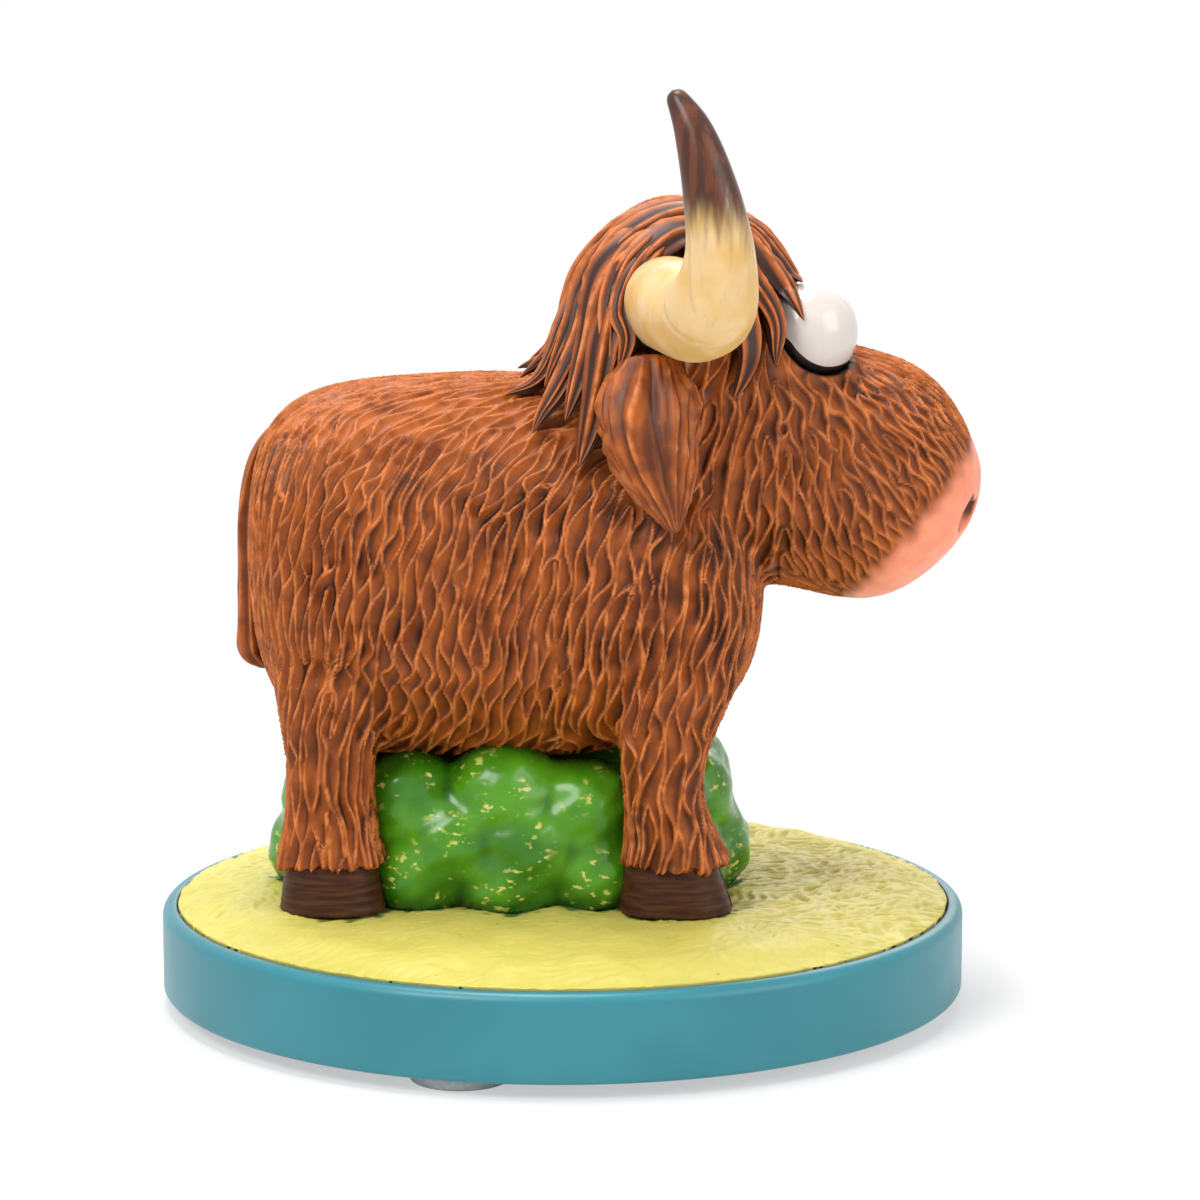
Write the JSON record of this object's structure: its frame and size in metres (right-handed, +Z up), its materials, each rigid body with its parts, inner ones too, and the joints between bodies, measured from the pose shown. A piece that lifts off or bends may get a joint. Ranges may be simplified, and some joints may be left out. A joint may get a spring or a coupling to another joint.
{
  "type": "cow figurine",
  "caption": "Shaggy long-horned cow ornament standing over a leafy bush on a round plinth with a grass top and foot pads.",
  "frame": {"origin": "middle of the plinth, on the surface that the foot pads stand on", "axes": "+X the way the cow faces, +Z up, so that -Y is the near side in the picture"},
  "size_m": [0.1015, 0.1, 0.1133],
  "materials": {
    "teal_paint": "satin",
    "grass_paint": "matte",
    "bush_paint": "gloss",
    "coat_paint": "satin",
    "muzzle_paint": "satin",
    "hair_paint": "satin",
    "horn_paint": "satin",
    "eye_paint": "gloss",
    "steel": "drawn",
    "hoof_paint": "satin",
    "pad": "matte"
  },
  "bodies": {
    "root": {"base_disc": "teal_paint", "grass_plate": "grass_paint", "bush": "bush_paint", "body": "coat_paint", "head": "coat_paint", "muzzle": "muzzle_paint", "forelock": "hair_paint", "mane": "hair_paint", "tail": "hair_paint", "ear_near": "hair_paint", "horn_near": "horn_paint", "eye_near": "eye_paint", "horn_pin_near": "steel", "hoof_front_near": "hoof_paint", "leg_pin_front_near": "steel", "hoof_rear_near": "hoof_paint", "leg_pin_rear_near": "steel", "ear_far": "hair_paint", "horn_far": "horn_paint", "eye_far": "eye_paint", "horn_pin_far": "steel", "hoof_front_far": "hoof_paint", "leg_pin_front_far": "steel", "hoof_rear_far": "hoof_paint", "leg_pin_rear_far": "steel", "neck_pin": "steel", "foot_pad_1": "pad", "foot_pad_2": "pad", "foot_pad_3": "pad", "foot_pad_4": "pad"}
  },
  "joints": []
}
